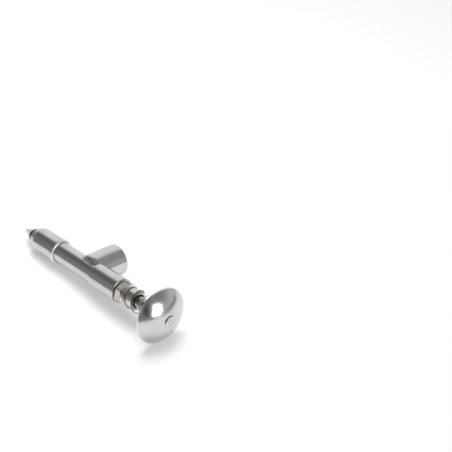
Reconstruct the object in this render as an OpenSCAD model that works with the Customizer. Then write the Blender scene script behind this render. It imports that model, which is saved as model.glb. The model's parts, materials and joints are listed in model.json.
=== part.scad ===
// Push-type hand grease gun: a grease tube screws into the side socket, and a push of the domed
// head drives the plunger past the inlet and forces grease out through a ball valve and a pointed tip.
// The gun is drawn along X, with the socket's axis at x = 0, the head at +X and the socket's mouth
// at +Y, and is then laid down as it comes to rest: on the head's rim, the cap's edge and the socket.

/* [Gun body] */
// Outside diameter of the front barrel
barrel_d = 10.9; // [10.4:0.1:12]
// Distance from the socket's axis to the collar's rear face
front_len = 22.4; // [20:0.2:36]
// Outside diameter of the rear barrel
rear_d = 12.4; // [12.2:0.1:15]
// Distance from the socket's axis to the step up to the rear barrel
step_off = 5.6; // [4:0.1:7]
// Length of the rear barrel
rear_len = 19; // [18:0.2:30]
// Diameter of the collar that the nose cap stops at
collar_d = 13.2; // [12.8:0.1:15]
// Width of the collar
collar_w = 1.9; // [1.4:0.1:4]
// Rounding of the collar's rear edge
collar_round = 0.9; // [0.3:0.1:1.1]
// Diameter of the threaded front spigot
spigot_d = 9.8; // [8.6:0.1:10]
// Length of the threaded front spigot
spigot_len = 8.9; // [7:0.1:11]
// Rounding of the turned pieces' other edges
edge = 0.4; // [0.1:0.05:0.6]

/* [Tube socket] */
// Outside diameter of the socket
socket_d = 16; // [15:0.1:20]
// Distance from the barrel's axis to the socket's mouth
socket_len = 17.7; // [15:0.1:26]
// Distance that the socket's base goes past the barrel's axis
socket_base = 2.2; // [0.5:0.1:4]
// Rounding of the socket's base
base_round = 3.6; // [0.5:0.1:4]
// Diameter of the hole that takes the tube's threaded neck
neck_d = 10.4; // [8:0.1:11.5]
// Distance from the barrel's axis to the socket's floor
socket_floor = 8.2; // [7.5:0.1:9.5]
// Thickness of the washer on the socket's floor
socket_gasket_t = 1.2; // [0.6:0.1:2]
// How far the relief behind the thread is deeper than the thread
relief = 0.5; // [0.2:0.1:1]
// Chamfer at the hole's mouth
mouth_chamfer = 0.7; // [0.2:0.1:1]

/* [Pump] */
// Diameter of the plunger rod
plunger_d = 6.2; // [5:0.1:6.6]
// Travel of the plunger
stroke = 12; // [6:0.5:13]
// Diameter of the inlet from the socket
inlet_d = 4; // [2.5:0.1:4.5]
// Diameter of the passage from the pump bore to the valve
delivery_d = 3; // [2:0.1:3.2]
// Distance from the inlet's edge to the plunger's tip at rest
tip_clear = 0.9; // [0.4:0.1:1.5]
// Space left ahead of the plunger at the end of its stroke
bore_margin = 2.4; // [1:0.1:3]
// Diameter of the chamber behind the pump bore
chamber_d = 8.6; // [8.2:0.1:9]
// Outside diameter of the clip on the plunger
clip_d = 7.9; // [7.4:0.1:8]
// Thickness of the clip
clip_t = 1; // [0.6:0.1:1.2]
// Depth of the clip's groove in the plunger
clip_groove = 0.6; // [0.3:0.1:0.8]

/* [Gland nut] */
// Width of the hexagon across its flats
hex_af = 11; // [10.6:0.1:13]
// Length of the hexagon
hex_len = 3.9; // [3:0.1:6]
// Turn of the hexagon about the barrel's axis, in degrees
hex_turn = 20; // [0:1:59]
// Diameter of the nut's thread in the body
gland_d = 9.8; // [9.4:0.1:10]
// Length of the nut's thread in the body
gland_len = 4.1; // [4:0.1:5]
// Outside diameter of the guide sleeve
sleeve_d = 9.6; // [9:0.1:9.8]
// Length of the guide sleeve past the hexagon
sleeve_len = 7.5; // [5:0.1:9]
// Diameter of the recess in the sleeve's end
recess_d = 7.4; // [7:0.1:7.8]
// Depth of the recess in the sleeve's end
recess_len = 4; // [2:0.1:4.5]
// Thickness of the washer between the body and the hexagon
gland_gasket_t = 0.5; // [0.3:0.1:1]
// Thickness of the seal ring round the plunger
seal_t = 1.2; // [0.8:0.1:1.4]

/* [Push head] */
// Diameter of the head
head_d = 28.6; // [24:0.2:36]
// Height of the head from its edge to the top of the dome
head_h = 8.1; // [6:0.1:10]
// Height of the straight skirt round the dome
skirt_h = 1.1; // [0.8:0.1:2]
// Outside rounding between the dome and the skirt
rim_round = 1.4; // [1.4:0.1:3]
// Thickness of the pressed sheet
sheet_t = 1.2; // [0.8:0.1:1.3]
// Bare length from the sleeve's end to the head's edge
reach = 14.5; // [13.5:0.1:20]
// Diameter of the plunger's spigot in the head
rivet_hole_d = 4; // [3:0.1:4.4]
// Diameter of the peened rod end on the dome
rivet_d = 6.6; // [5:0.1:7]
// Height of the peened rod end above the dome
rivet_h = 0.4; // [0.3:0.05:0.8]
// Chamfer of the peened rod end
rivet_chamfer = 0.25; // [0.1:0.05:0.3]
// Diameter of the ring that the punch left on the peened rod end
punch_d = 3.4; // [2:0.1:4]
// Width of that ring
punch_w = 0.35; // [0.2:0.05:0.5]
// Depth of that ring
punch_t = 0.12; // [0.05:0.01:0.2]

/* [Return spring] */
// Thickness of the spring's wire
wire_d = 0.8; // [0.6:0.05:1]
// Number of closed turns at the hexagon
closed_turns = 1.2; // [1:0.1:3]
// Number of open turns
open_turns = 4.4; // [3:0.1:5]
// Number of closed turns at the head
end_turns = 1.5; // [1:0.1:2]
// Angle at which the wire starts, in degrees
spring_start = 35; // [0:5:355]

/* [Nose] */
// Outside diameter of the nose cap
cap_d = 12.7; // [12.2:0.1:15]
// Length of the nose cap
cap_len = 19.4; // [17:0.1:24]
// Length of the taper at the cap's front
taper_len = 5.2; // [4:0.1:6]
// Diameter at the end of the cap's taper
taper_d = 11; // [10:0.1:11.8]
// Diameter of the cap's front face
face_d = 7.4; // [7:0.1:9]
// Length of the steep cone between the taper and the front face
face_cone = 2.2; // [1:0.1:2.6]
// Diameter of the nozzle's shoulder
nozzle_d = 6.8; // [6.4:0.1:7]
// Length of the nozzle's shoulder
shoulder_len = 1.7; // [1.6:0.1:4]
// Width of the groove round the nozzle's shoulder
groove_w = 1.1; // [0.4:0.1:1.2]
// Diameter of the nozzle in that groove
groove_d = 5.2; // [4.6:0.1:6]
// Length of the nozzle's cone
cone_len = 6.6; // [5:0.1:10]
// Diameter of the nozzle's flat end
tip_d = 1.1; // [0.9:0.1:1.6]
// Diameter of the nozzle's outlet
outlet_d = 0.6; // [0.4:0.1:0.7]
// Diameter of the nozzle's inner passage
passage_d = 1.8; // [1.2:0.1:2]
// Diameter of the nozzle's thread in the cap
nozzle_thread_d = 5; // [4:0.1:5.4]
// Length of the narrow outlet
outlet_len = 4; // [3:0.1:4.5]

/* [Valve] */
// Diameter of the valve ball
ball_d = 4; // [3.6:0.1:4.4]
// Travel of the valve ball
ball_lift = 0.8; // [0.4:0.1:1]
// Diameter of the valve chamber
valve_d = 5.8; // [5.2:0.1:6.2]
// Thickness of the valve spring's wire
valve_wire_d = 0.4; // [0.3:0.05:0.45]
// Mean diameter of the valve spring
valve_spring_d = 3; // [2.6:0.1:3.2]
// Number of turns of the valve spring
valve_turns = 3.5; // [3:0.5:4]
// Thickness of the washer between the spigot and the cap
nose_gasket_t = 0.7; // [0.4:0.1:1]

/* [Fits] */
// Radial clearance of a piece that slides
slide_gap = 0.03; // [0.02:0.01:0.08]
// Radial clearance of a thread or a fixed fit
fixed_gap = 0.03; // [0.02:0.01:0.06]
// Space left between two pieces that meet at a stop
stop_gap = 0.1; // [0.05:0.05:0.2]
// Gap between the spring's turns and what they go round
spring_gap = 0.1; // [0.05:0.05:0.2]

/* [Hidden] */
$fn = 96;
// Overlap of a cut past the face that it opens
cut = 1;

// Stations along the gun's axis, from the tip to the head
collar_back = -front_len;
collar_front = collar_back - collar_w;
spigot_end = collar_front - spigot_len;
cap_back = collar_front - stop_gap;
cap_front = cap_back - cap_len;
cap_edge = cap_front + taper_len;
valve_back = spigot_end - nose_gasket_t;
shoulder_front = cap_front - shoulder_len;
nozzle_end = shoulder_front - cone_len;
rear_end = step_off + rear_len;
hex_front = rear_end + gland_gasket_t;
hex_back = hex_front + hex_len;
sleeve_end = hex_back + sleeve_len;
nut_front = hex_front - gland_len;
clip_back = nut_front - stop_gap;
clip_front = clip_back - clip_t;
chamber_front = clip_front - stroke - stop_gap;
tip_rest = inlet_d / 2 + tip_clear;
bore_front = tip_rest - stroke - bore_margin;

// The valve: the ball on its seat, and the spring between the ball and the nozzle
ball_r = ball_d / 2;
seat_gap = 0.04;
ball_x = spigot_end - sqrt(pow(ball_r, 2) - pow(delivery_d / 2, 2)) - seat_gap;
valve_spring_back = ball_x - sqrt(pow(ball_r + valve_wire_d / 2 + seat_gap, 2) - pow(valve_spring_d / 2, 2));
valve_spring_len = valve_turns * valve_wire_d + ball_lift + 2 * stop_gap;
valve_front = valve_spring_back - valve_spring_len - valve_wire_d / 2;

// The head: a dome that is rounded over into a short skirt with a round edge
head_r = head_d / 2;
bend_r = head_r - rim_round;
bend_h = head_h - skirt_h;
dome_r = (pow(bend_h, 2) + pow(bend_r, 2) - pow(rim_round, 2)) / (2 * (bend_h - rim_round));
hollow_r = dome_r - sheet_t;
edge_x = sleeve_end + reach;
dome_x = edge_x + head_h - dome_r;
bend_off = edge_x + skirt_h - dome_x;
bend_angle = atan2(bend_r, bend_off);
rim_r = head_r - sheet_t / 2;
rim_x = edge_x + sheet_t / 2;

// The return spring, from the hexagon to the hollow of the head
spring_r = sleeve_d / 2 + spring_gap + wire_d / 2;
spring_from = hex_back + wire_d / 2 + seat_gap;
spring_to = dome_x + sqrt(pow(hollow_r, 2) - pow(spring_r + wire_d / 2, 2)) - wire_d / 2 - seat_gap;
turn_gap = 0.06;
closed_pitch = wire_d + turn_gap;

// How the gun lies: tilted up towards the head, and rolled until the socket's mouth touches
cap_r = cap_d / 2;
socket_r = socket_d / 2;
lean = atan2(rim_r - cap_r, rim_x - cap_edge)
    + asin(sheet_t / 2 / norm([rim_r - cap_r, rim_x - cap_edge]));
axis_z = cap_r * cos(lean) - cap_edge * sin(lean);
mouth_r = socket_r - edge;
mouth_y = socket_len - edge;
dip = asin((axis_z - edge) / norm([mouth_y, mouth_r])) - atan2(mouth_r, mouth_y);
roll = asin(sin(dip) / cos(lean));
x_low = nozzle_end * cos(lean) - tip_d / 2 * sin(lean);
x_high = (dome_x + dome_r + rivet_h) * cos(lean) + (rivet_d / 2 - rivet_chamfer) * sin(lean);
y_low = -head_r;
y_high = mouth_y * cos(roll) + mouth_r * sin(roll) + edge;

// Lays the gun down, with the middle of its box over the origin
module lay() {
    translate([-(x_low + x_high) / 2, -(y_low + y_high) / 2, axis_z])
        rotate([0, -lean, 0])
            rotate([-roll, 0, 0])
                children();
}

// Turns a profile of [radius, x] points about the gun's axis
module turned(profile) {
    rotate([0, 90, 0])
        rotate_extrude()
            polygon(profile);
}

// A round bar along the gun's axis, from x0 to x1
module bar(x0, x1, d) {
    translate([x0, 0, 0])
        rotate([0, 90, 0])
            cylinder(d = d, h = x1 - x0);
}

// Half of a bar's section, with its corners rounded at the bottom and at the top
module round_profile(r, h, low, high) {
    translate([0, low])
        square([r, h - low - high]);
    if (low > 0) {
        square([r - low, 2 * low]);
        translate([r - low, low])
            circle(r = low);
    }
    if (high > 0) {
        translate([0, h - 2 * high])
            square([r - high, 2 * high]);
        translate([r - high, h - high])
            circle(r = high);
    }
}

// A round bar along the gun's axis, with its edges rounded at x0 and at x1
module round_bar(x0, x1, d, round0, round1) {
    translate([x0, 0, 0])
        rotate([0, 90, 0])
            rotate_extrude()
                round_profile(d / 2, x1 - x0, round0, round1);
}

// A washer along the gun's axis
module washer(x0, x1, outer_d, inner_d) {
    difference() {
        bar(x0, x1, outer_d);
        bar(x0 - cut, x1 + cut, inner_d);
    }
}

// A round bar along the socket's axis, from y0 to y1
module side_bar(y0, y1, d) {
    translate([0, y0, 0])
        rotate([-90, 0, 0])
            cylinder(d = d, h = y1 - y0);
}

// A cone along the socket's axis, from d0 at y0 to d1 at y1
module side_cone(y0, y1, d0, d1) {
    translate([0, y0, 0])
        rotate([-90, 0, 0])
            cylinder(d1 = d0, d2 = d1, h = y1 - y0);
}

// Wire of a coil spring swept along places = [[x, turns], ...], with flat-ended tips
module coil(mean_r, wire, start, places, sides) {
    rings = len(places);
    points = [
        for (p = places, i = [0:sides - 1])
            let (turn = start + 360 * p[1], side = 360 * i / sides, r = mean_r + wire / 2 * cos(side))
                [p[0] + wire / 2 * sin(side), r * cos(turn), r * sin(turn)]
    ];
    walls = [
        for (k = [0:rings - 2], i = [0:sides - 1])
            let (j = (i + 1) % sides)
                [k * sides + i, k * sides + j, (k + 1) * sides + j, (k + 1) * sides + i]
    ];
    first = [for (i = [sides - 1:-1:0]) i];
    last = [for (i = [0:sides - 1]) (rings - 1) * sides + i];
    polyhedron(points, concat([first], walls, [last]), convexity = 10);
}

// Barrel, collar, front spigot and tube socket, bored through
module gun_body() {
    color("silver")
        lay()
            difference() {
                union() {
                    round_bar(spigot_end, collar_front + cut, spigot_d, edge, 0);
                    round_bar(collar_front, collar_back, collar_d, edge / 2, collar_round);
                    bar(collar_back - cut, step_off + cut, barrel_d);
                    round_bar(step_off, rear_end, rear_d, edge, edge);
                    translate([0, -socket_base, 0])
                        rotate([-90, 0, 0])
                            rotate_extrude()
                                round_profile(socket_r, socket_base + socket_len, base_round, edge);
                }
                pump_bores();
                socket_bores();
            }
}

// Pump bore, delivery passage, chamber and gland thread
module pump_bores() {
    bar(bore_front, chamber_front + cut, plunger_d + 2 * slide_gap);
    bar(spigot_end - cut, bore_front + cut, delivery_d);
    bar(chamber_front, rear_end + cut, chamber_d);
    bar(nut_front - stop_gap, rear_end + cut, gland_d + 2 * fixed_gap);
}

// Inlet, thread relief, thread and mouth chamfer of the socket
module socket_bores() {
    thread_from = socket_floor + socket_gasket_t;
    side_bar(0, socket_floor + cut, inlet_d);
    side_bar(socket_floor, thread_from, neck_d + 2 * relief);
    side_bar(thread_from - cut / 2, socket_len + cut, neck_d);
    side_cone(socket_len - mouth_chamfer, socket_len + cut, neck_d, neck_d + 2 * (mouth_chamfer + cut));
}

// Cap on the front spigot, with the valve chamber and the nozzle's thread
module nose_cap() {
    color("silver")
        lay()
            difference() {
                union() {
                    turned([
                        [0, cap_front],
                        [face_d / 2, cap_front],
                        [taper_d / 2, cap_front + face_cone],
                        [cap_r, cap_edge],
                        [0, cap_edge]
                    ]);
                    round_bar(cap_edge, cap_back, cap_d, 0, edge);
                }
                bar(valve_back, cap_back + cut, spigot_d + 2 * fixed_gap);
                bar(valve_front, valve_back + cut, valve_d);
                bar(cap_front - cut, valve_front + cut, nozzle_thread_d + 2 * fixed_gap);
            }
}

// Pointed outlet screwed into the cap
module nozzle_tip() {
    groove_mid = (shoulder_front + cap_front) / 2;
    color("lightgray")
        lay()
            difference() {
                turned([
                    [0, nozzle_end],
                    [tip_d / 2, nozzle_end],
                    [nozzle_d / 2, shoulder_front],
                    [nozzle_d / 2, groove_mid - groove_w / 2],
                    [groove_d / 2, groove_mid - groove_w / 2],
                    [groove_d / 2, groove_mid + groove_w / 2],
                    [nozzle_d / 2, groove_mid + groove_w / 2],
                    [nozzle_d / 2, cap_front],
                    [nozzle_thread_d / 2, cap_front],
                    [nozzle_thread_d / 2, valve_front],
                    [0, valve_front]
                ]);
                bar(nozzle_end - cut, valve_front + cut, outlet_d);
                bar(nozzle_end + outlet_len, valve_front + cut, passage_d);
            }
}

// Washer squeezed between the spigot's end and the cap
module nose_gasket() {
    color("peru")
        lay()
            washer(valve_back, spigot_end, spigot_d, valve_d);
}

// Ball that closes the delivery passage
module check_ball() {
    color("gainsboro")
        lay()
            translate([ball_x, 0, 0])
                sphere(d = ball_d);
}

// Spring that holds the ball on its seat
module check_spring() {
    rings = ceil(16 * valve_turns);
    places = [
        for (k = [0:rings])
            let (t = k / rings) [valve_spring_back - t * valve_spring_len, valve_turns * t]
    ];
    color("dimgray")
        lay()
            mirror([1, 0, 0])
                coil(valve_spring_d / 2, valve_wire_d, 0, [for (p = places) [-p[0], p[1]]], 6);
}

// Rod with its clip groove, its seat in the dome and its peened end
module plunger_rod() {
    r = plunger_d / 2;
    groove_r = r - clip_groove;
    // heights are counted from the dome's centre
    tip = tip_rest - dome_x;
    groove = [clip_front - dome_x, clip_back - dome_x];
    face = dome_r + rivet_h;
    color("darkgray")
        lay()
            translate([dome_x, 0, 0])
                rotate([0, 90, 0])
                    rotate_extrude() {
                        polygon([
                            [0, tip],
                            [r - edge, tip],
                            [r, tip + edge],
                            [r, groove[0]],
                            [groove_r, groove[0]],
                            [groove_r, groove[1]],
                            [r, groove[1]],
                            [r, cut],
                            [0, cut]
                        ]);
                        intersection() {
                            square([r, hollow_r + cut]);
                            circle(r = hollow_r);
                        }
                        square([rivet_hole_d / 2, dome_r]);
                        difference() {
                            polygon([
                                [0, cut],
                                [rivet_d / 2, cut],
                                [rivet_d / 2, face - rivet_chamfer],
                                [rivet_d / 2 - rivet_chamfer, face],
                                [punch_d / 2, face],
                                [punch_d / 2, face - punch_t],
                                [punch_d / 2 - punch_w, face - punch_t],
                                [punch_d / 2 - punch_w, face],
                                [0, face]
                            ]);
                            circle(r = dome_r);
                        }
                    }
}

// Ring in the rod's groove, held back by the gland nut
module plunger_clip() {
    color("dimgray")
        lay()
            washer(clip_front, clip_back, clip_d, plunger_d - 2 * clip_groove);
}

// Seal ring in the gland nut
module rod_seal() {
    mean_r = plunger_d / 2 + slide_gap + seal_t / 2;
    color("black")
        lay()
            translate([seal_x(), 0, 0])
                rotate([0, 90, 0])
                    rotate_extrude()
                        translate([mean_r, 0])
                            circle(d = seal_t);
}

// Place of the seal ring, in the middle of the nut's threaded length
function seal_x() = nut_front + gland_len / 2;

// Hexagon with its thread in the body and its guide sleeve
module gland_nut() {
    corner_r = hex_af / 2 / cos(30);
    face_r = hex_af / 2 - edge / 2;
    bevel = (corner_r - face_r) * tan(30);
    color("darkkhaki")
        lay()
            difference() {
                union() {
                    bar(nut_front, hex_front + cut, gland_d);
                    round_bar(hex_back - cut, sleeve_end, sleeve_d, 0, edge);
                    intersection() {
                        translate([hex_front, 0, 0])
                            rotate([hex_turn, 0, 0])
                                rotate([0, 90, 0])
                                    rotate([0, 0, 90])
                                        cylinder(r = corner_r, h = hex_len, $fn = 6);
                        turned([
                            [0, hex_front],
                            [face_r, hex_front],
                            [corner_r + edge, hex_front + bevel + edge * tan(30)],
                            [corner_r + edge, hex_back - bevel - edge * tan(30)],
                            [face_r, hex_back],
                            [0, hex_back]
                        ]);
                    }
                }
                bar(nut_front - cut, sleeve_end + cut, plunger_d + 2 * slide_gap);
                bar(sleeve_end - recess_len, sleeve_end + cut, recess_d);
                bar(seal_x() - seal_t / 2, seal_x() + seal_t / 2, plunger_d + 2 * (slide_gap + seal_t));
            }
}

// Washer under the hexagon
module gland_gasket() {
    color("saddlebrown")
        lay()
            washer(rear_end, hex_front, hex_af - edge, gland_d + 2 * fixed_gap);
}

// Spring that brings the head back: closed turns, open turns, closed turns
module return_spring() {
    turns = closed_turns + open_turns + end_turns;
    rings = ceil(24 * turns);
    first = closed_turns * closed_pitch;
    last = end_turns * closed_pitch;
    open = spring_to - spring_from - first - last;
    places = [
        for (k = [0:rings])
            let (
                t = turns * k / rings,
                opened = min(max(t - closed_turns, 0), open_turns) / open_turns,
                shut = min(t, closed_turns) + max(t - closed_turns - open_turns, 0)
            )
                [spring_from + shut * closed_pitch + opened * open, t]
    ];
    color("gainsboro")
        lay()
            coil(spring_r, wire_d, spring_start, places, 8);
}

// Half of the head's section down to a height, with its faces moved in by an inset
module head_profile(inset, low) {
    far = 2 * dome_r;
    intersection() {
        circle(r = dome_r - inset);
        polygon([
            [0, 0],
            [far * sin(bend_angle), far * cos(bend_angle)],
            [far * sin(bend_angle), far],
            [0, far]
        ]);
    }
    translate([bend_r, bend_off])
        intersection() {
            circle(r = rim_round - inset);
            square(rim_round);
        }
    translate([0, low])
        square([head_r - inset, bend_off - low]);
}

// Pressed dome with a skirt, a round edge and a hole for the rod's end
module push_head() {
    // heights are counted from the dome's centre
    edge_off = rim_x - dome_x;
    color("silver")
        lay()
            difference() {
                translate([dome_x, 0, 0])
                    rotate([0, 90, 0])
                        rotate_extrude() {
                            difference() {
                                head_profile(0, edge_off);
                                head_profile(sheet_t, edge_off - cut);
                                square([rim_r, edge_off]);
                            }
                            translate([rim_r, edge_off])
                                circle(d = sheet_t);
                        }
                bar(dome_x, dome_x + 2 * dome_r, rivet_hole_d);
            }
}

// Washer on the socket's floor
module socket_gasket() {
    color("dimgray")
        lay()
            difference() {
                side_bar(socket_floor, socket_floor + socket_gasket_t, neck_d + 2 * relief - 2 * fixed_gap);
                side_bar(socket_floor - cut, socket_floor + socket_gasket_t + cut, inlet_d);
            }
}

gun_body();
nose_cap();
nozzle_tip();
nose_gasket();
check_ball();
check_spring();
plunger_rod();
plunger_clip();
rod_seal();
gland_nut();
gland_gasket();
return_spring();
push_head();
socket_gasket();
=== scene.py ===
"""Looks of a push-type hand grease gun: its finishes, springs, socket thread, light and camera."""
import json
from math import cos, hypot, pi, radians, sin

import bpy
from mathutils import Matrix, Quaternion, Vector


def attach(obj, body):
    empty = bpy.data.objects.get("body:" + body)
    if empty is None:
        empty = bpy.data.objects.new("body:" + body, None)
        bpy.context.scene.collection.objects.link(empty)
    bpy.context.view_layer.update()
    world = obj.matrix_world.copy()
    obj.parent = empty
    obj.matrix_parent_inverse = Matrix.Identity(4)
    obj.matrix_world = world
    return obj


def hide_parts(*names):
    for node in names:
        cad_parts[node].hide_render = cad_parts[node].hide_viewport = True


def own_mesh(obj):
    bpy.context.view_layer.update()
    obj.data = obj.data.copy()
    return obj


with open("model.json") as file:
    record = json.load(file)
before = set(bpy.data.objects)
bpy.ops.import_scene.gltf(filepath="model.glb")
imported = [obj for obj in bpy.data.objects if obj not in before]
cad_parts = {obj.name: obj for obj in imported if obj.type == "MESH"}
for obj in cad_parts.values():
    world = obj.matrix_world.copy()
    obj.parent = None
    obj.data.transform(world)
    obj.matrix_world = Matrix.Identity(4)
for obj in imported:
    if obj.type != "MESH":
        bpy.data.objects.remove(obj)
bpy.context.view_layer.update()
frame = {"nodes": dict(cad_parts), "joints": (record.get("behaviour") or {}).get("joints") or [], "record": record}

scene = bpy.context.scene
MM = 0.001

# The gun's own frame: x along the barrel to the head, y along the socket, its origin where the axes cross
mounts = {mount["name"]: mount for mount in frame["record"]["mounts"]}
joints = {joint["name"]: joint for joint in frame["joints"]}
TIP = Vector(mounts["nozzle_point"]["pos_m"])
SOCKET_MIDDLE = Vector(mounts["tube_socket"]["pos_m"])
BARREL = -Vector(joints["plunger_slide"]["axis"]).normalized()
SOCKET = Vector(mounts["tube_socket"]["axis"]).normalized()
ORIGIN = TIP + BARREL * (SOCKET_MIDDLE - TIP).dot(BARREL)
TURN = Matrix((BARREL, SOCKET, BARREL.cross(SOCKET))).transposed()
GUN = Matrix.Translation(ORIGIN) @ TURN.to_4x4()

# The photograph's camera, in the gun's frame
CAMERA_PLACE = Vector((0.39556, -0.32045, 0.31075))
CAMERA_AIM = Vector((-0.00205, 0.09710, -0.00970))
CAMERA_ROLL = radians(3.803)
CAMERA_LENS = 95.6
SENSOR = 36.0


def span(node):
    """How far a CAD node reaches along the gun's axis, from and to, and its largest radius."""
    points = [GUN.inverted() @ vertex.co for vertex in frame["nodes"][node].data.vertices]
    reach = [point.x for point in points]
    return min(reach), max(reach), max(hypot(point.y, point.z) for point in points)


# Places where a finish changes, measured on the nodes
CAP_BACK, CAP_RADIUS = span("nose_cap")[1:]
BODY_BACK = span("gun_body")[1]
SLEEVE_END = span("gland_nut")[1]
HEAD_RADIUS = span("push_head")[2]

# Sizes inside a node, which its span doesn't give
COLLAR_WIDTH = 1.9 * MM
COLLAR_BACK = CAP_BACK + COLLAR_WIDTH
REAR_RADIUS = 6.2 * MM
SOCKET_RADIUS = 8.0 * MM
HEX_FLAT_RADIUS = 5.5 * MM
PEENED_FROM = 55 * MM


# Nodes written as expressions
class Wire:
    """A value in a node tree. Sums, products and powers of wires add Math nodes."""

    def __init__(self, tree, socket):
        self.tree = tree
        self.socket = socket

    def math(self, operation, *values):
        """A Math node of these values."""
        return add_node(self.tree, "ShaderNodeMath", {"operation": operation}, dict(enumerate(values)))

    def __add__(self, other):
        return self.math("ADD", self, other)

    def __sub__(self, other):
        return self.math("SUBTRACT", self, other)

    def __rsub__(self, other):
        return self.math("SUBTRACT", other, self)

    def __mul__(self, other):
        return self.math("MULTIPLY", self, other)

    def __truediv__(self, other):
        return self.math("DIVIDE", self, other)

    def __pow__(self, other):
        return self.math("POWER", self, other)

    __radd__ = __add__
    __rmul__ = __mul__

    def step(self, start, end):
        """Zero before start, one after end, smooth between."""
        value, from_low, from_high, to_low, to_high = range(5)
        inputs = {value: self, from_low: start, from_high: end, to_low: 0.0, to_high: 1.0}
        return add_node(self.tree, "ShaderNodeMapRange", {"interpolation_type": "SMOOTHSTEP"}, inputs)

    def window(self, low, high, soft):
        """One between low and high, zero outside, over edges that are soft on both sides."""
        return self.step(low - soft, low + soft) * (1 - self.step(high - soft, high + soft))


def add_node(tree, kind, settings=None, inputs=None, output=0):
    """Adds a node: its settings first, then its sockets' values or links. Gives one output as a wire."""
    node = tree.nodes.new(kind)
    for name, value in (settings or {}).items():
        if name == "stops":
            set_stops(node.color_ramp, value)
        else:
            setattr(node, name, value)
    for key, value in (inputs or {}).items():
        if isinstance(value, Wire):
            tree.links.new(value.socket, node.inputs[key])
        else:
            node.inputs[key].default_value = value
    return Wire(tree, node.outputs[output]) if node.outputs else None


def set_stops(ramp, stops):
    """Gives a colour ramp its stops, as (place, colour) pairs."""
    while len(ramp.elements) < len(stops):
        ramp.elements.new(1.0)
    for element, (place, colour) in zip(ramp.elements, stops):
        element.position = place
        element.color = (*colour, 1.0)


def opaque(value):
    """A colour of three numbers with its alpha. Anything else stays as it is."""
    return (*value, 1.0) if isinstance(value, tuple) and len(value) == 3 else value


class Finish:
    """A material under construction, with the gun's own coordinates at hand."""

    def __init__(self, name):
        self.material = bpy.data.materials.new(name)
        self.material.use_nodes = True
        self.tree = self.material.node_tree
        self.tree.nodes.clear()
        place = self.node("ShaderNodeTexCoord", output="Object")
        lying = {"Vector": place, "Location": ORIGIN, "Rotation": TURN.to_euler()}
        self.gun = self.node("ShaderNodeMapping", {"vector_type": "TEXTURE"}, lying)
        self.x, self.y, self.z = (self.axis(letter) for letter in "XYZ")

    def node(self, kind, settings=None, inputs=None, output=0):
        """Adds a node to the material."""
        return add_node(self.tree, kind, settings, inputs, output)

    def axis(self, letter):
        """One of the gun's own coordinates."""
        return self.node("ShaderNodeSeparateXYZ", None, {"Vector": self.gun}, letter)

    def radius(self):
        """Distance from the barrel's axis."""
        return (self.y * self.y + self.z * self.z) ** 0.5

    def angle(self):
        """Angle about the barrel's axis."""
        return self.y.math("ARCTAN2", self.z, self.y)

    def noise(self, size, detail, **more):
        """Cloudy noise from 0 to 1, with features about that size."""
        inputs = {"Vector": self.gun, "Scale": 1.0 / size, "Detail": detail, **more}
        return self.node("ShaderNodeTexNoise", None, inputs)

    def lines(self, size, value):
        """Noise along one value only, as on a turned face."""
        inputs = {"W": value, "Scale": 1.0 / size, "Detail": 3.0}
        return self.node("ShaderNodeTexNoise", {"noise_dimensions": "1D"}, inputs)

    def mix(self, share, first, second):
        """From one colour to another by a share."""
        share_socket, first_socket, second_socket, mixed = 0, 6, 7, 2
        inputs = {share_socket: share, first_socket: opaque(first), second_socket: opaque(second)}
        return self.node("ShaderNodeMix", {"data_type": "RGBA"}, inputs, mixed)

    def bump(self, height, depth):
        """A normal from a height, in units of the depth."""
        inputs = {"Height": height, "Distance": depth, "Strength": 1.0}
        return self.node("ShaderNodeBump", None, inputs, "Normal")

    def close(self, **sockets):
        """Ends in a Principled shader with these sockets, and gives the material."""
        inputs = {name.replace("_", " "): opaque(value) for name, value in sockets.items()}
        shader = self.node("ShaderNodeBsdfPrincipled", None, inputs)
        self.node("ShaderNodeOutputMaterial", None, {"Surface": shader})
        return self.material


# Finishes
RUBBED_PLATE = (0.86, 0.86, 0.86)
# Painted shade: the dark colour laid on the spring's turns at the sleeve's mouth
PAINTED_WIRE_SHADE = (0.13, 0.12, 0.11)

# How far bump rounds the rear barrel's rim down, in millimetres
RIM_DROP = 1.4


def on_socket(made):
    """One on the tube socket, zero on the barrel."""
    half = SOCKET_RADIUS + 0.2 * MM
    above = made.y.step(REAR_RADIUS - 0.6 * MM, REAR_RADIUS + 0.2 * MM)
    return above * made.x.window(-half, half, 0.2 * MM)


def edges(made):
    """The rear barrel's rim, and all edges rubbed matt: the collar's back, that rim and the head's skirt."""
    proud = made.radius().step(0.9 * CAP_RADIUS, 0.93 * CAP_RADIUS)
    collar = made.x.window(COLLAR_BACK - 0.8 * MM, COLLAR_BACK + 0.3 * MM, 0.2 * MM) * proud
    rim = made.x.step(BODY_BACK - 0.9 * MM, BODY_BACK + 0.3 * MM)
    skirt = made.radius().step(HEAD_RADIUS - 0.12 * MM, HEAD_RADIUS - 0.03 * MM)
    on_head = made.x.step(BODY_BACK + 0.3 * MM, BODY_BACK + 0.6 * MM)
    return rim, collar + rim * (1 - on_head) + 0.4 * skirt * on_head


def plated(name, colour, shade, rough, turning, grain, peel):
    """Bright plate over a turned face: tool lines, a slight peel, clouding and edges rubbed matt."""
    made = Finish(name)
    clouds = made.noise(7 * MM, 4.0)
    marks = made.noise(0.6 * MM, 3.0)
    waves = made.noise(1.6 * MM, 1.0)
    tool = made.lines(0.16 * MM, made.x + on_socket(made) * (made.y - made.x))
    rim, rubbed = edges(made)
    plate = made.mix(clouds.step(0.3, 0.8), colour, shade)
    dulled = 0.05 * clouds.step(0.35, 0.75) + 0.03 * marks.step(0.55, 0.8)
    base = made.mix(rubbed, plate, RUBBED_PLATE)
    roughness = rough + dulled + 0.03 * tool + 0.2 * rubbed
    height = (turning * tool + grain * marks + peel * waves - RIM_DROP * rim) * MM
    return made.close(Base_Color=base, Metallic=1.0, Roughness=roughness, Normal=made.bump(height, 1.0))


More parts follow.
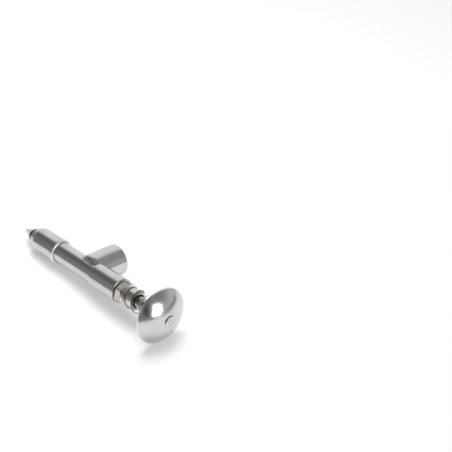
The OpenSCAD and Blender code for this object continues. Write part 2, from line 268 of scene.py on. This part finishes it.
def ground_rod(name):
    """Ground steel with rings from grinding and runs from sliding. Its peened end is plated like the head."""
    made = Finish(name)
    rings = made.lines(0.12 * MM, made.x)
    runs = made.lines(0.03, made.angle())
    film = made.noise(4 * MM, 3.0)
    hammered = made.noise(0.9 * MM, 2.0)
    peened = made.x.step(PEENED_FROM, PEENED_FROM + 1 * MM)
    shaft = made.mix(film.step(0.35, 0.75), (0.50, 0.50, 0.48), (0.36, 0.35, 0.33))
    base = made.mix(peened, shaft, (0.60, 0.60, 0.595))
    roughness = 0.2 + 0.1 * runs + 0.08 * film - 0.08 * peened
    height = 0.004 * MM * (rings + runs) * (1 - peened) + 0.03 * MM * hammered * peened
    return made.close(Base_Color=base, Metallic=1.0, Roughness=roughness, Normal=made.bump(height, 1.0))


def yellow_zinc(name):
    """Yellow-passivated zinc: olive, tan and pink on the hexagon, painted dark reflection along its corners,
    rubbed off on the sleeve.
    """
    made = Finish(name)
    drift = made.noise(3.2 * MM, 3.0, Distortion=0.6)
    fine = made.noise(0.35 * MM, 3.0)
    stops = [
        (0.30, (0.37, 0.37, 0.30)),
        (0.45, (0.53, 0.52, 0.45)),
        (0.58, (0.62, 0.55, 0.50)),
        (0.72, (0.46, 0.46, 0.38)),
    ]
    sheen = made.node("ShaderNodeValToRGB", {"stops": stops}, {"Fac": drift}, "Color")
    hexagon = made.radius().step(HEX_FLAT_RADIUS - 0.8 * MM, HEX_FLAT_RADIUS - 0.3 * MM)
    # Painted reflection: the hexagon's corners are darkened to stand for the dark lines its edges mirror
    corners = made.radius().step(HEX_FLAT_RADIUS + 0.4 * MM, HEX_FLAT_RADIUS + 0.8 * MM)
    sleeve = made.mix(drift.step(0.3, 0.7), (0.68, 0.67, 0.63), (0.55, 0.54, 0.50))
    base = made.mix(0.75 * corners, made.mix(hexagon, sleeve, sheen), (0.17, 0.155, 0.14))
    roughness = 0.2 + 0.12 * fine
    height = 0.006 * MM * (fine + made.lines(0.2 * MM, made.x))
    return made.close(Base_Color=base, Metallic=1.0, Roughness=roughness, Normal=made.bump(height, 1.0))


def drawn_wire(name):
    """Plated spring wire: fine drawing marks, a little dulling, and painted shade on the turns round the sleeve's
    mouth.
    """
    made = Finish(name)
    marks = made.noise(0.25 * MM, 3.0)
    dull = made.noise(2.5 * MM, 2.0)
    # Painted shade, not grease: the turns round the sleeve's mouth are darkened where the head shades them
    grease = made.x.window(SLEEVE_END - 1.6 * MM, SLEEVE_END + 1.6 * MM, 0.5 * MM)
    wire = made.mix(dull.step(0.35, 0.7), (0.92, 0.92, 0.91), (0.80, 0.80, 0.79))
    base = made.mix(0.8 * grease, wire, PAINTED_WIRE_SHADE)
    roughness = 0.08 + 0.1 * marks
    normal = made.bump(marks, 0.004 * MM)
    return made.close(Base_Color=base, Metallic=1.0, Roughness=roughness, Normal=normal)


def black_oxide(name):
    """Oil-blackened clip, browned where it rubs."""
    made = Finish(name)
    patches = made.noise(1.2 * MM, 4.0)
    base = made.mix(patches.step(0.45, 0.75), (0.035, 0.035, 0.04), (0.16, 0.13, 0.11))
    roughness = 0.35 + 0.2 * patches
    normal = made.bump(patches, 0.01 * MM)
    return made.close(Base_Color=base, Metallic=0.8, Roughness=roughness, Normal=normal)


def bearing_steel(name):
    """Lapped ball, almost a mirror."""
    made = Finish(name)
    haze = made.noise(0.8 * MM, 4.0)
    base = made.mix(haze, (0.66, 0.67, 0.68), (0.60, 0.61, 0.62))
    roughness = 0.05 + 0.05 * haze
    normal = made.bump(haze, 0.001 * MM)
    return made.close(Base_Color=base, Metallic=1.0, Roughness=roughness, Normal=normal)


def annealed_copper(name):
    """Soft copper washer, tarnished in patches."""
    made = Finish(name)
    tarnish = made.noise(1.5 * MM, 4.0)
    base = made.mix(tarnish.step(0.35, 0.7), (0.66, 0.36, 0.22), (0.34, 0.17, 0.10))
    roughness = 0.3 + 0.2 * tarnish
    normal = made.bump(tarnish, 0.01 * MM)
    return made.close(Base_Color=base, Metallic=1.0, Roughness=roughness, Normal=normal)


def dark_fibre(name):
    """Vulcanised fibre: dark brown with short flecks."""
    made = Finish(name)
    flecks = made.noise(0.2 * MM, 5.0)
    base = made.mix(flecks.step(0.45, 0.7), (0.030, 0.021, 0.015), (0.085, 0.058, 0.038))
    return made.close(Base_Color=base, Roughness=0.65 + 0.2 * flecks, Normal=made.bump(flecks, 0.03 * MM))


def seal_rubber(name):
    """Matt black rubber, with moulding bloom."""
    made = Finish(name)
    bloom = made.noise(1.8 * MM, 4.0)
    grain = made.noise(0.12 * MM, 3.0)
    base = made.mix(bloom.step(0.4, 0.75), (0.014, 0.014, 0.015), (0.045, 0.045, 0.046))
    return made.close(Base_Color=base, Roughness=0.55 + 0.25 * grain, Normal=made.bump(grain, 0.012 * MM))


# Heights of tool lines, grain and peel are in millimetres
FINISHES = {
    "plated_steel": plated(
        "plated_steel", colour=(0.60, 0.61, 0.62), shade=(0.53, 0.54, 0.555),
        rough=0.19, turning=0.0016, grain=0.006, peel=0.005,
    ),
    "nozzle_steel": plated(
        "nozzle_steel", colour=(0.56, 0.56, 0.555), shade=(0.45, 0.45, 0.445),
        rough=0.16, turning=0.004, grain=0.0016, peel=0.0,
    ),
    "polished_steel": plated(
        "polished_steel", colour=(0.61, 0.62, 0.62), shade=(0.57, 0.58, 0.58),
        rough=0.16, turning=0.0006, grain=0.012, peel=0.011,
    ),
    "rod_steel": ground_rod("rod_steel"),
    "yellow_zinc": yellow_zinc("yellow_zinc"),
    "spring_steel": drawn_wire("spring_steel"),
    "clip_steel": black_oxide("clip_steel"),
    "ball_steel": bearing_steel("ball_steel"),
    "copper": annealed_copper("copper"),
    "fibre": dark_fibre("fibre"),
    "seal_rubber": seal_rubber("seal_rubber"),
}
for subpart in frame["record"]["subparts"]:
    node_mesh = frame["nodes"][subpart["node"]].data
    node_mesh.materials.clear()
    node_mesh.materials.append(FINISHES[subpart["material_slot"]])


# Geometry Nodes
def node_tree(name, sizes):
    """A new tree with a named input for each size, as wires."""
    tree = bpy.data.node_groups.new(name, "GeometryNodeTree")
    tree.interface.new_socket("Geometry", in_out="OUTPUT", socket_type="NodeSocketGeometry")
    for size in sizes:
        tree.interface.new_socket(size, in_out="INPUT", socket_type="NodeSocketFloat")
    return tree, {size: add_node(tree, "NodeGroupInput", None, None, size) for size in sizes}


def close_tree(tree, geometry, finish, smooth):
    """Ends a tree in real, finished geometry."""
    shading = {"Geometry": geometry, "Shade Smooth": smooth}
    shaded = add_node(tree, "GeometryNodeSetShadeSmooth", None, shading)
    real = add_node(tree, "GeometryNodeRealizeInstances", None, {"Geometry": shaded})
    done = add_node(tree, "GeometryNodeSetMaterial", None, {"Geometry": real, "Material": finish})
    add_node(tree, "NodeGroupOutput", None, {"Geometry": done})


def grown(name, tree, sizes):
    """The piece that a tree makes from these sizes, laid down with the gun."""
    seed = bpy.data.objects.new(name, bpy.data.meshes.new(name))
    scene.collection.objects.link(seed)
    modifier = seed.modifiers.new("grow", "NODES")
    modifier.node_group = tree
    for item in tree.interface.items_tree:
        if item.in_out == "INPUT":
            modifier[item.identifier] = sizes[item.name]
    evaluated = seed.evaluated_get(bpy.context.evaluated_depsgraph_get())
    mesh = bpy.data.meshes.new_from_object(evaluated)
    seed.modifiers.remove(modifier)
    seed.data = mesh
    mesh.transform(GUN)
    return seed


# Springs: a line bent into a helix, with a round wire along it
COIL_SIZES = (
    "From", "To", "Radius", "Wire", "Start", "First turns", "Open turns", "Last turns", "Closed pitch"
)
WIRE_SIDES = 20

# The gap between closed turns, and how gently the pitch changes, in turns
TURN_GAP = 0.06 * MM
PITCH_EASE = 0.25


def soft_above(value):
    """The value where it is above zero, and zero below, rounded off near zero."""
    return value.math("SMOOTH_MAX", value, 0.0, PITCH_EASE)


def coil_tree(name, finish, steps):
    """Wire wound along x: closed turns, open turns and closed turns, with the pitch changing smoothly."""
    tree, size = node_tree(name, COIL_SIZES)
    first, middle, last = size["First turns"], size["Open turns"], size["Last turns"]
    closed_pitch = size["Closed pitch"]
    line = add_node(tree, "GeometryNodeCurvePrimitiveLine", None, {"End": (1.0, 0.0, 0.0)})
    points = add_node(tree, "GeometryNodeResampleCurve", None, {"Curve": line, "Count": steps})
    turn = add_node(tree, "GeometryNodeSplineParameter", None, None, "Factor") * (first + middle + last)
    opened = soft_above(turn - first) - soft_above(turn - first - middle)
    open_pitch = (size["To"] - size["From"] - (first + last) * closed_pitch) / middle
    x = size["From"] + (turn - opened) * closed_pitch + opened * open_pitch
    angle = size["Start"] + turn * (2 * pi)
    y = size["Radius"] * angle.math("COSINE", angle)
    z = size["Radius"] * angle.math("SINE", angle)
    place = add_node(tree, "ShaderNodeCombineXYZ", None, {"X": x, "Y": y, "Z": z})
    wound = add_node(tree, "GeometryNodeSetPosition", None, {"Geometry": points, "Position": place})
    ring = {"Resolution": WIRE_SIDES, "Radius": size["Wire"] * 0.5}
    section = add_node(tree, "GeometryNodeCurvePrimitiveCircle", None, ring)
    sweep = {"Curve": wound, "Profile Curve": section, "Fill Caps": True}
    wire = add_node(tree, "GeometryNodeCurveToMesh", None, sweep)
    close_tree(tree, wire, finish, True)
    return tree


def wind(node, wire, start, turns, steps):
    """Replaces a spring's solid by smooth wire that rides with the gun's body."""
    low, high, outer = span(node)
    sizes = (low + wire / 2, high - wire / 2, outer - wire / 2, wire, start, *turns, wire + TURN_GAP)
    tree = coil_tree(node, FINISHES["spring_steel"], steps)
    spring = grown(node + "_wire", tree, dict(zip(COIL_SIZES, sizes)))
    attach(spring, "gun")
    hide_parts(node)
    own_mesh(spring)


wind("return_spring", wire=0.8 * MM, start=radians(35), turns=(1.2, 4.4, 1.5), steps=400)
wind("check_spring", wire=0.4 * MM, start=0.0, turns=(0.75, 2.0, 0.75), steps=160)


# The socket's thread: a ridge that climbs the bore's wall and runs out at both ends
THREAD_SIZES = ("From", "To", "Radius", "Height", "Pitch")
THREAD_HEIGHT = 0.55 * MM
THREAD_PITCH = 1.4 * MM
THREAD_MARGIN = 0.8 * MM

# The ridge: its flanks' slope, its root's share of the height, its width in pitches, its runout in turns
FLANK_SLOPE = 1.3
ROOT_DEPTH = 0.3
RIDGE_WIDTH = 0.9
RUNOUT_TURNS = 1 / 3


def thread_tree(name, finish, steps, round_steps):
    """A grid whose long side follows the helix and whose short side goes once round the ridge."""
    tree, size = node_tree(name, THREAD_SIZES)
    counts = {"Size X": 1.0, "Size Y": 1.0, "Vertices X": steps, "Vertices Y": round_steps}
    grid = add_node(tree, "GeometryNodeMeshGrid", None, counts)
    place = add_node(tree, "GeometryNodeInputPosition")
    along = add_node(tree, "ShaderNodeSeparateXYZ", None, {"Vector": place}, "X") + 0.5
    around = add_node(tree, "ShaderNodeSeparateXYZ", None, {"Vector": place}, "Y") + 0.5
    across = around.math("PINGPONG", around, 0.5)
    swing = 1 - around.math("ABSOLUTE", 4 * across - 1)
    side = 2 * across - 0.5
    in_wall = around.math("GREATER_THAN", around, 0.5)
    flank = swing.math("MINIMUM", FLANK_SLOPE * swing, 1.0)
    turns = (size["To"] - size["From"]) / size["Pitch"]
    fade = (1 / RUNOUT_TURNS) * turns * along.math("PINGPONG", along, 0.5)
    runout = fade.math("MINIMUM", fade, 1.0)
    rise = flank * size["Height"] * (runout * (1 - in_wall) - ROOT_DEPTH * in_wall)
    angle = along * turns * (2 * pi)
    radius = size["Radius"] - rise
    y = size["From"] + along * (size["To"] - size["From"]) + RIDGE_WIDTH * side * size["Pitch"]
    helix = {"X": radius * angle.math("COSINE", angle), "Y": y, "Z": radius * angle.math("SINE", angle)}
    spot = add_node(tree, "ShaderNodeCombineXYZ", None, helix)
    bent = add_node(tree, "GeometryNodeSetPosition", None, {"Geometry": grid, "Position": spot})
    joined = {"Geometry": bent, "Distance": 0.001 * MM}
    ridge = add_node(tree, "GeometryNodeMergeByDistance", None, joined)
    close_tree(tree, ridge, finish, False)
    return tree


def cut_thread():
    """Lays the thread's ridge in the socket's bore."""
    hole = mounts["tube_socket"]["dims"]
    middle = (SOCKET_MIDDLE - ORIGIN).dot(SOCKET)
    reach = hole["length_mm"] / 2 * MM - THREAD_MARGIN
    sizes = (middle - reach, middle + reach, hole["r_mm"] * MM, THREAD_HEIGHT, THREAD_PITCH)
    tree = thread_tree("socket_thread", FINISHES["plated_steel"], steps=420, round_steps=9)
    ridge = grown("socket_thread", tree, dict(zip(THREAD_SIZES, sizes)))
    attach(ridge, "gun")


cut_thread()


# Floor, light and camera
def staged(name, points, faces, finish, **sockets):
    """A sheet beside the gun, in an even finish with these sockets."""
    material = bpy.data.materials.new(finish)
    material.use_nodes = True
    shader = material.node_tree.nodes["Principled BSDF"]
    for socket, value in sockets.items():
        shader.inputs[socket.replace("_", " ")].default_value = opaque(value)
    mesh = bpy.data.meshes.new(name)
    mesh.from_pydata(points, [], faces)
    mesh.materials.append(material)
    sheet = bpy.data.objects.new(name, mesh)
    scene.collection.objects.link(sheet)
    return sheet


def floor():
    """White paper under the gun."""
    half = 4.0
    corners = [(-half, -half, 0), (half, -half, 0), (half, half, 0), (-half, half, 0)]
    paper = {"Base_Color": (0.86, 0.86, 0.86), "Roughness": 0.9, "Specular_IOR_Level": 0.1}
    staged("floor", corners, [(0, 1, 2, 3)], "white_paper", **paper)


def flag():
    """A low grey card that bends round the gun, open to the wall. It darkens the horizon in the metal."""
    steps = 72
    first, last = radians(-160), radians(78)
    middle_x, middle_y, reach_x, reach_y, height = 0.07, 0.05, 0.2, 0.165, 0.035
    turns = [first + (last - first) * step / steps for step in range(steps + 1)]
    line = [(middle_x + reach_x * cos(turn), middle_y + reach_y * sin(turn)) for turn in turns]
    points = [(x, y, level) for level in (0.0, height) for x, y in line]
    sides = [(step, step + 1, steps + step + 2, steps + step + 1) for step in range(steps)]
    glow = {"Emission_Color": (1.0, 1.0, 1.0), "Emission_Strength": 0.25}
    grey = {"Base_Color": (0.0, 0.0, 0.0), "Specular_IOR_Level": 0.0, **glow}
    card = staged("flag", points, sides, "grey_card", **grey)
    card.visible_camera = False
    card.visible_diffuse = False
    card.visible_shadow = False


def direction(azimuth, elevation):
    """A direction: azimuth from +Y towards +X, elevation above the floor, in degrees."""
    turn = Matrix.Rotation(radians(-azimuth), 3, "Z") @ Matrix.Rotation(radians(elevation), 3, "X")
    return turn @ Vector((0.0, 1.0, 0.0))


def softbox(name, azimuth, elevation, distance, width, height, brightness):
    """An area light that faces the gun. Its brightness is its radiance."""
    light = bpy.data.lights.new(name, "AREA")
    light.shape = "RECTANGLE"
    light.size, light.size_y = width, height
    light.energy = brightness * pi * width * height
    lamp = bpy.data.objects.new(name, light)
    scene.collection.objects.link(lamp)
    lamp.location = direction(azimuth, elevation) * distance
    lamp.rotation_mode = "QUATERNION"
    lamp.rotation_quaternion = (-lamp.location).to_track_quat("-Z", "Y")
    lamp.visible_camera = False
    return lamp


def studio_light():
    """A leaning softbox that the metal mirrors, a lamp that casts the shadow, and a fill without one."""
    window = softbox("window", 91, 15.5, distance=1.2, width=0.48, height=0.66, brightness=6.0)
    lean = radians(-22)
    window.rotation_quaternion @= Quaternion((0.0, 0.0, 1.0), lean)
    window.visible_diffuse = False
    key = softbox("key", -50, 73, distance=1.3, width=0.85, height=0.85, brightness=4.5)
    key.visible_glossy = False
    fill = softbox("fill", 0, 90, distance=0.55, width=0.5, height=0.5, brightness=2.2)
    fill.visible_glossy = False
    fill.data.use_shadow = False


def room():
    """A dim room with a bright wall behind the nose, even light on the floor and a pale backdrop."""
    world = bpy.data.worlds.new("room")
    scene.world = world
    world.use_nodes = True
    tree = world.node_tree
    tree.nodes.clear()
    looking = add_node(tree, "ShaderNodeTexCoord", None, None, "Generated")
    x, y, z = (add_node(tree, "ShaderNodeSeparateXYZ", None, {"Vector": looking}, letter) for letter in "XYZ")
    azimuth = x.math("ARCTAN2", x, y) * (180 / pi)
    elevation = z.math("ARCSINE", z) * (180 / pi)

    def panel(left, right, soft, fade, top):
        """One between two azimuths, fading out up to its top."""
        return azimuth.window(left, right, soft) * (1 - elevation.step(fade, top))

    wall = panel(-79, -12, 14, 40, 62)
    corner = panel(-4, 66, 12, 14, 40)
    back_wall = panel(-30, 38, 14, 44, 62)
    left_wall = panel(-165, -105, 15, 10, 30)
    dark_post = panel(113, 131, 4, 34, 46)
    dark_band = (1 - azimuth.window(-84, 112, 8)) * elevation.window(26, 58, 16)
    dim, darkest, floor_light, backdrop = 0.27, 0.05, 0.3, 0.95
    lit = 0.75 * wall + 0.26 * corner + 0.12 * back_wall + 0.11 * left_wall
    brightness = dim + lit - 0.12 * dark_band - 0.21 * dark_post
    strength = brightness.math("MAXIMUM", brightness, darkest)
    for ray, level in (("Is Diffuse Ray", floor_light), ("Is Camera Ray", backdrop)):
        seen = add_node(tree, "ShaderNodeLightPath", None, None, ray)
        strength = strength + seen * (level - strength)
    light = {"Color": opaque((1.0, 1.0, 1.0)), "Strength": strength}
    shade = add_node(tree, "ShaderNodeBackground", None, light)
    add_node(tree, "ShaderNodeOutputWorld", None, {"Surface": shade})


def camera():
    """The camera at the photograph's viewing angle."""
    lens = bpy.data.cameras.new("camera")
    lens.lens, lens.sensor_width = CAMERA_LENS, SENSOR
    lens.clip_start, lens.clip_end = 0.01, 20.0
    made = bpy.data.objects.new("camera", lens)
    scene.collection.objects.link(made)
    look = (CAMERA_AIM - CAMERA_PLACE).to_track_quat("-Z", "Y").to_matrix()
    stand = Matrix.Translation(CAMERA_PLACE) @ (look @ Matrix.Rotation(CAMERA_ROLL, 3, "Z")).to_4x4()
    made.matrix_world = GUN @ stand
    scene.camera = made


floor()
flag()
room()
studio_light()
camera()
scene.view_settings.view_transform = "Standard"
